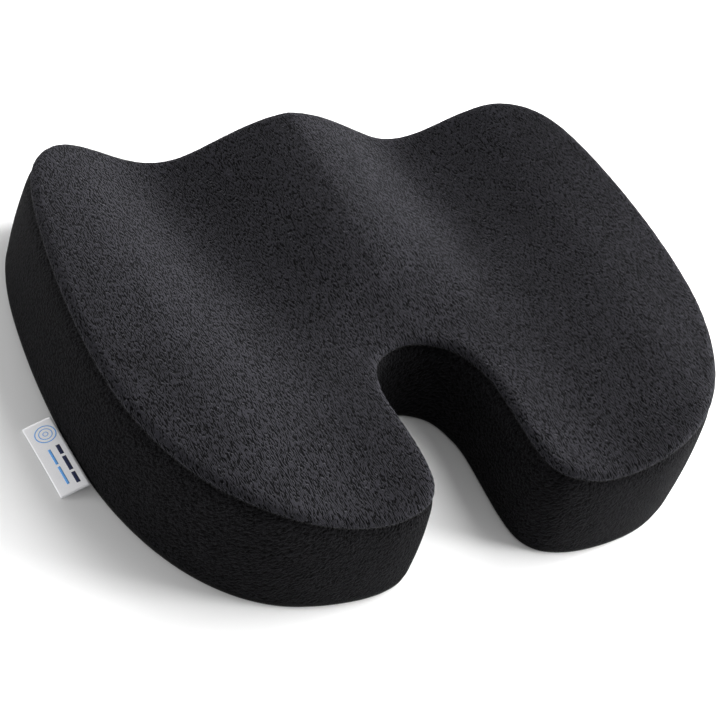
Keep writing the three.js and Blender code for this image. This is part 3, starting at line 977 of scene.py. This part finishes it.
stitch = {
    "pitch": 3.0,
    "length": 2.3,
    "radius": 0.26,
    "sides": 6,
    "shape": ((-0.5, 0.25), (-0.42, 0.75), (-0.2, 1), (0.2, 1), (0.42, 0.75), (0.5, 0.25)),
    "topInset": 1.5,  # how deep the thread lies in each seam
    "baseInset": 0.75,
    "baseZ": 2.85,
    "endInset": 1.3,
    "endFoot": 4.5,
}


def stitchRun(name, points, size=stitch):
    # a row of short raised stitches along a line of points in millimetres
    points = np.asarray(points, float)
    steps = np.linalg.norm(np.diff(points, axis=0), axis=1)
    at = np.concatenate([[0], np.cumsum(steps)])
    count = max(1, int(at[-1] / size["pitch"]))
    pitch = at[-1] / count
    turn = np.arange(size["sides"]) * 2 * np.pi / size["sides"]
    shape = size["shape"]
    made, faces = [], []
    for k in range(count):
        middle = (k + 0.5) * pitch
        first = len(made)
        for along, wide in shape:
            d = np.clip(middle + along * size["length"] + np.array([-0.05, 0, 0.05]), 0, at[-1])
            p = np.stack([np.interp(d, at, points[:, c]) for c in range(3)], axis=-1)
            t = (p[2] - p[0]) / max(np.linalg.norm(p[2] - p[0]), 1e-9)
            u = np.cross(t, (0.13, 0.29, 0.95) if abs(t[2]) < 0.9 else (1, 0, 0))
            u /= np.linalg.norm(u)
            v = np.cross(t, u)
            r = size["radius"] * wide
            for a in turn:
                made.append(p[1] + r * (np.cos(a) * u + np.sin(a) * v))
        n = size["sides"]
        for k2 in range(len(shape) - 1):
            for i in range(n):
                a, b = first + k2 * n, first + (k2 + 1) * n
                faces.append((a + i, a + (i + 1) % n, b + (i + 1) % n, b + i))
        faces.append([first + i for i in range(n)][::-1])
        faces.append([first + (len(shape) - 1) * n + i for i in range(n)])
    return meshObject(name, made, faces)


def closedLine(points):
    return np.vstack([points, points[:1]])


ringStations = allRound(300)
topLine = closedLine(rimPoint(ringStations, form["seamTurn"], stitch["topInset"]))
topSeamThread = stitchRun("topSeamThread", topLine)
finishPiece(topSeamThread, "cushion", sewingThread, ["top_seam_thread"])
baseLine = closedLine(wallPoint(ringStations, stitch["baseZ"], stitch["baseInset"]))
baseSeamThread = stitchRun("baseSeamThread", baseLine)
finishPiece(baseSeamThread, "cushion", sewingThread, ["base_seam_thread"])


for side, x in (("Left", form["panelHalf"]), ("Right", -form["panelHalf"])):
    endStation = Stations([x / outline.length])
    heights = np.linspace(stitch["endFoot"], endStation.rimStart[0], 40)
    line = [wallPoint(endStation, z, stitch["endInset"])[0] for z in heights]
    run = stitchRun("bandEndThread" + side, line)
    finishPiece(run, "cushion", sewingThread, ["band_end_thread_" + side.lower()])
print("seams stitched")


zipSize = {
    "face": -(form["frontEdge"] + form["baseSpread"]),
    "z": 22.0,
    "half": 152.4,
    "tapeLow": 0.7,
    "tapeHigh": 11.5,
    "tapeOut": -2.0,
    "tapeThick": 0.8,
    "tapeColumns": 610,
    "rib": 0.06,
    "stitchAway": 7.3,
    "stitchOut": 0.12,
    "stitchHalf": 151.5,
    "softEdge": 0.28,  # bevel on the slider and the pull
}
coil = {
    "pitch": 1.4,
    "wire": 0.29,
    "inner": -0.55,
    "outer": 2.9,
    "low": -1.62,
    "high": -0.28,
    "endGap": 1,
    "perTurn": 14,
    "sides": 6,
}


def zipPoint(x, out, up):
    # x along the zip, out from the flat face, up from the zip's middle
    return (x, zipSize["face"] - out, zipSize["z"] + up)


def makeTape(name, side):
    xs = np.linspace(-zipSize["half"], zipSize["half"], zipSize["tapeColumns"])
    ups = np.linspace(zipSize["tapeLow"], zipSize["tapeHigh"], 12)
    grid = np.zeros((len(xs), len(ups), 3))
    for j, up in enumerate(ups):
        rib = zipSize["rib"] * np.cos(j * np.pi)
        grid[:, j] = [zipPoint(x, zipSize["tapeOut"] + rib, side * up) for x in xs]
    if side < 0:
        grid = grid[:, ::-1]
    piece, _ = gridObject(name, grid)
    return applyModifier(piece, "SOLIDIFY", thickness=zipSize["tapeThick"] * mm, offset=-1)


def tubeObject(name, points, radius, sides):
    # a closed round tube along a line of points
    p = np.asarray(points, float)
    t = np.gradient(p, axis=0)
    t /= np.linalg.norm(t, axis=1, keepdims=True)
    u = np.cross(t, (1.0, 0.0, 0.0))
    u /= np.linalg.norm(u, axis=1, keepdims=True)
    v = np.cross(t, u)
    a = np.arange(sides) * 2 * np.pi / sides
    ring = p[:, None] + radius * (np.cos(a)[:, None] * u[:, None] + np.sin(a)[:, None] * v[:, None])
    faces = []
    for k in range(len(p) - 1):
        for i in range(sides):
            n = (i + 1) % sides
            faces.append((k * sides + i, k * sides + n, (k + 1) * sides + n, (k + 1) * sides + i))
    last = (len(p) - 1) * sides
    faces.append(list(range(sides))[::-1])
    faces.append([last + i for i in range(sides)])
    return meshObject(name, ring.reshape(-1, 3), faces)


def makeCoil(name, side, start):
    # one continuous nylon monofilament, its heads reaching just past the zip's middle
    length = 2 * (zipSize["half"] - coil["endGap"])
    turns = length / coil["pitch"]
    k = np.arange(int(turns * coil["perTurn"])) / coil["perTurn"]
    angle = 2 * np.pi * (k + start)
    middle = (coil["inner"] + coil["outer"]) / 2
    reach = (coil["outer"] - coil["inner"]) / 2 - coil["wire"]
    depth = (coil["low"] + coil["high"]) / 2
    tall = (coil["high"] - coil["low"]) / 2 - coil["wire"]
    flatten = np.abs(np.cos(angle)) ** 0.6 * np.sign(np.cos(angle))
    x = -zipSize["half"] + coil["endGap"] + k * coil["pitch"]
    points = [
        zipPoint(xx, depth + tall * s, side * (middle + reach * c))
        for xx, s, c in zip(x.tolist(), np.sin(angle).tolist(), flatten.tolist())
    ]
    return tubeObject(name, points, coil["wire"], coil["sides"])


for name, side, start in (("Upper", 1, 0.0), ("Lower", -1, 0.5)):
    tape = makeTape("zipTape" + name, side)
    finishPiece(tape, "cushion", tapeWeave, ["zip_tape_" + name.lower()])
    row = makeCoil("zipCoil" + name, side, start)
    finishPiece(row, "cushion", coilNylon, ["zip_coil_" + name.lower()])
    away = side * zipSize["stitchAway"]
    xs = np.linspace(-zipSize["stitchHalf"], zipSize["stitchHalf"], 400)
    line = [zipPoint(x, zipSize["stitchOut"], away) for x in xs]
    run = stitchRun("zipStitch" + name, line)
    finishPiece(run, "cushion", sewingThread, ["zip_stitch_" + name.lower()])


def bevelledCopy(node, name, width):
    # the fixed part's own shape with its flats joined and its edges softened
    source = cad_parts[node]
    piece = bpy.data.objects.new(name, source.data.copy())
    bpy.context.scene.collection.objects.link(piece)
    applyModifier(piece, "WELD", merge_threshold=0.00001)
    applyModifier(piece, "DECIMATE", decimate_type="DISSOLVE", angle_limit=math.radians(4))
    applyModifier(
        piece, "BEVEL", width=width * mm, segments=3, limit_method="ANGLE",
        angle_limit=math.radians(35), use_clamp_overlap=True,
    )
    applyModifier(piece, "TRIANGULATE")
    return piece


zipSlider = bevelledCopy("zip_slider", "zipSlider", zipSize["softEdge"])
finishPiece(zipSlider, "slider", zipMetal, ["zip_slider"])
zipPull = bevelledCopy("zip_pull", "zipPull", zipSize["softEdge"])
finishPiece(zipPull, "pull", zipMetal, ["zip_pull"])
print("zip fitted")


label = {
    "share": 0.249,  # how far round the outline it is sewn in
    "length": 61.0,
    "reach": 19.5,
    "z": 6.4,
    "droop": 5.0,
    "standOff": 0.9,
    "open": 0.42,  # half the gap between the two folded layers
    "cloth": 0.22,
    "curl": 0.5,
    "foldAt": 0.96,  # share of the reach where the ribbon turns back
    "foldReach": 0.03,
}
labelStation = Stations([label["share"]])


def labelPoint(along, reach, layer):
    # along the wall, out from it as a share of the reach, and which folded layer
    n = np.array([labelStation.nx[0], labelStation.ny[0], 0.0])
    t = np.array([-n[1], n[0], 0.0])
    foot = wallPoint(labelStation, label["z"], -label["standOff"])[0]
    drop = label["droop"] * reach ** 1.35
    drop += label["curl"] * (2 * along / label["length"]) ** 2 * reach
    return foot + t * along + n * reach * label["reach"] + np.array([0, 0, layer - drop])


def makeLabel():
    # one ribbon: out along the top layer, round the fold, and back under it
    fold = label["foldAt"]
    path = [(share, label["open"]) for share in np.linspace(0, fold, 14)]
    for a in np.linspace(90, -90, 9)[1:-1]:
        turn = math.radians(a)
        reach = fold + label["foldReach"] * math.cos(turn)
        path.append((reach, label["open"] * math.sin(turn)))
    path += [(share, -label["open"]) for share in np.linspace(fold, 0, 14)]
    alongs = np.linspace(-0.5, 0.5, 40) * label["length"]
    grid = np.array([[labelPoint(a, share, layer) for share, layer in path] for a in alongs])
    piece, _ = gridObject("sideLabel", grid)
    return applyModifier(piece, "SOLIDIFY", thickness=label["cloth"] * mm, offset=0)


labelPrint = {
    "lift": 0.13,
    "thick": 0.03,
    "dark": ((23, 5.6, 8, 2.6), (33, 5.6, 12, 2.6), (47, 5.6, 9, 2.6)),  # bars: from, out, long, tall
    "light": ((24, 11.6, 13, 1.7), (39, 11.6, 15, 1.7)),
    "rings": ((11.5, 8.6, 6.6, 0.7), (11.5, 8.6, 4.2, 0.55), (11.5, 8.6, 1.6, 0.5)),
}


def printPatch(rows):
    # a thin film of ink over the label: rows of (along, out) places in millimetres
    count = len(rows[0])
    lift = label["open"] + labelPrint["lift"]
    points = [
        labelPoint(u - label["length"] / 2, v / label["reach"], lift) for row in rows for u, v in row
    ]
    faces = []
    for i in range(len(rows) - 1):
        for j in range(count - 1):
            a = i * count + j
            faces.append((a, a + 1, a + count + 1, a + count))
    return points, faces


def makeLabelInkPiece(name, bars, rings):
    # plain bars and rings, nothing that can be read
    points, faces = [], []
    for start, out, long, tall in bars:
        us = np.linspace(start, start + long, 12)
        vs = np.linspace(out - tall / 2, out + tall / 2, 4)
        more = printPatch([[(u, v) for v in vs] for u in us])
        faces += [tuple(k + len(points) for k in f) for f in more[1]]
        points += more[0]
    for along, out, radius, width in rings:
        turns = np.linspace(0, 2 * np.pi, 49)
        radii = (radius - width / 2, radius + width / 2)
        rows = [[(along + r * math.cos(a), out + r * math.sin(a)) for r in radii] for a in turns]
        more = printPatch(rows)
        faces += [tuple(k + len(points) for k in f) for f in more[1]]
        points += more[0]
    piece = meshObject(name, points, faces)
    applyModifier(piece, "WELD", merge_threshold=0.00001)
    return applyModifier(piece, "SOLIDIFY", thickness=labelPrint["thick"] * mm, offset=0)


sideLabel = makeLabel()
finishPiece(sideLabel, "cushion", labelSatin, ["side_label"])
barsPrinted = makeLabelInkPiece("labelBars", labelPrint["dark"], ())
finishPiece(barsPrinted, "cushion", inkDark)
ringsPrinted = makeLabelInkPiece("labelRings", labelPrint["light"], labelPrint["rings"])
finishPiece(ringsPrinted, "cushion", inkLight)
print("label sewn on")


studio = {
    "floorSize": 40.0,
    "floorShade": 0.93,
    "horizon": 0.85,
    "zenith": 0.45,
    "wallTop": (0.25, 0.5),  # where the pale wall gives way to the ceiling
    # name: compass angle from +X and height in degrees, distance, size, strength in watts
    "lights": {
        "keyRight": (190, 24, 2.6, 0.9, 92),
        "highRight": (174, 60, 2.6, 1.6, 66),
        "sideRight": (150, 11, 2.6, 0.7, 96),
        "backLow": (270, 6, 2.6, 0.8, 26),
        "rimLeft": (-12, 8, 2.6, 0.8, 26),
    },
}


def makeStudio(look):
    bpy.ops.mesh.primitive_plane_add(size=look["floorSize"], location=(0, 0, -0.0002))
    floor = bpy.context.object
    floor.name = "studioFloor"
    f = Finish("floorPaper", rough=0.9, specular=0.1)
    tooth = f.noise(f.place(), scale=900, detail=2.0)
    shade = look["floorShade"]
    f.colour(f.blend(tooth, grey(shade * 0.985), grey(shade)))
    floor.data.materials.append(f.material)
    for name, (compass, height, distance, size, power) in look["lights"].items():
        a, e = math.radians(compass), math.radians(height)
        place = Vector((math.cos(a) * math.cos(e), math.sin(a) * math.cos(e), math.sin(e)))
        place *= distance
        lamp = bpy.data.lights.new(name, "AREA")
        lamp.size = size
        lamp.energy = power
        holder = bpy.data.objects.new(name, lamp)
        bpy.context.scene.collection.objects.link(holder)
        turn = (Vector((0, 0, 0.04)) - place).to_track_quat("-Z", "Y").to_matrix().to_4x4()
        holder.matrix_world = Matrix.Translation(place) @ turn
    world = bpy.data.worlds.new("studioWorld")
    world.use_nodes = True
    tree = world.node_tree
    background = tree.nodes["Background"]
    background.inputs["Color"].default_value = (1, 1, 1, 1)
    # a pale wall all round, a softer ceiling above it
    direction = tree.nodes.new("ShaderNodeTexCoord").outputs["Generated"]
    split = tree.nodes.new("ShaderNodeSeparateXYZ")
    tree.links.new(direction, split.inputs[0])
    rise = tree.nodes.new("ShaderNodeMapRange")
    rise.interpolation_type = "SMOOTHSTEP"
    tree.links.new(split.outputs["Z"], rise.inputs["Value"])
    low, high = look["wallTop"]
    for socket, value in ((1, low), (2, high), (3, look["horizon"]), (4, look["zenith"])):
        rise.inputs[socket].default_value = value
    tree.links.new(rise.outputs[0], background.inputs["Strength"])
    bpy.context.scene.world = world
    bpy.context.scene.view_settings.view_transform = "Standard"


makeStudio(studio)
print("studio lit")
